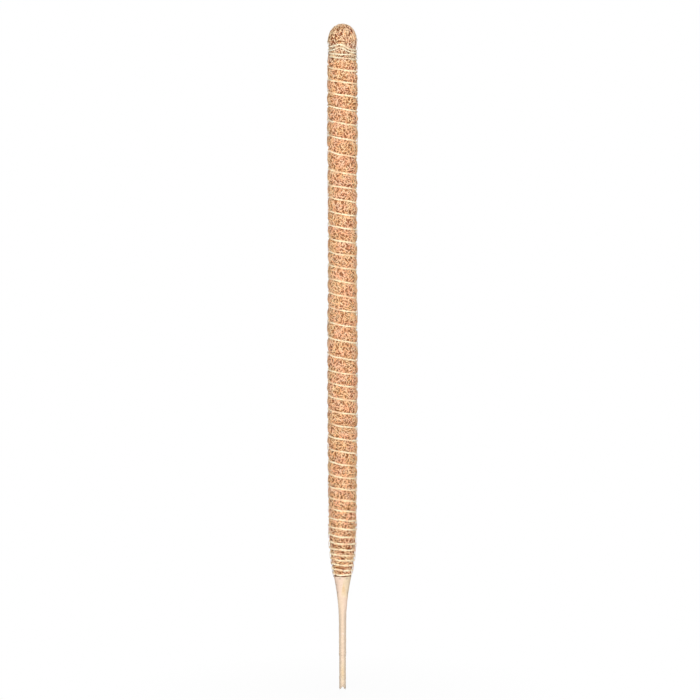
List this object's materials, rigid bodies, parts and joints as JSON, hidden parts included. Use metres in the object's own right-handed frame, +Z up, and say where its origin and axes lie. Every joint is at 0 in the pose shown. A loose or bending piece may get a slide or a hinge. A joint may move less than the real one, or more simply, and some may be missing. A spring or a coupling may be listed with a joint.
{
  "type": "moss pole",
  "caption": "Slim coir moss pole with a domed top, bound with pale twine on a bendable wire core, and a taped stake that pushes into a pot's soil to hold a climbing plant.",
  "frame": {"origin": "on the pole's axis at the soil line, where the coir ends and the taped stake begins", "axes": "+Z up along the pole, towards its dome; X across the two legs of the wire; -Y is the front in the picture"},
  "size_m": [0.0136, 0.0146, 0.3],
  "materials": {
    "coir": "matted curly coconut fibre, golden brown",
    "twine": "thin twisted cream twine, slightly fuzzy",
    "tape": "cream crepe paper tape, matt",
    "wire": "dull zinc-coated soft steel wire with cut ends"
  },
  "bodies": {
    "root": {"core_wire": "wire", "inner_coir_roll": "coir", "outer_coir_mat": "coir", "stake_tape": "tape", "neck_tape": "tape", "binding_twine_upper": "twine", "binding_twine_lower": "twine", "top_knot": "twine", "bottom_knot": "twine"}
  },
  "joints": []
}
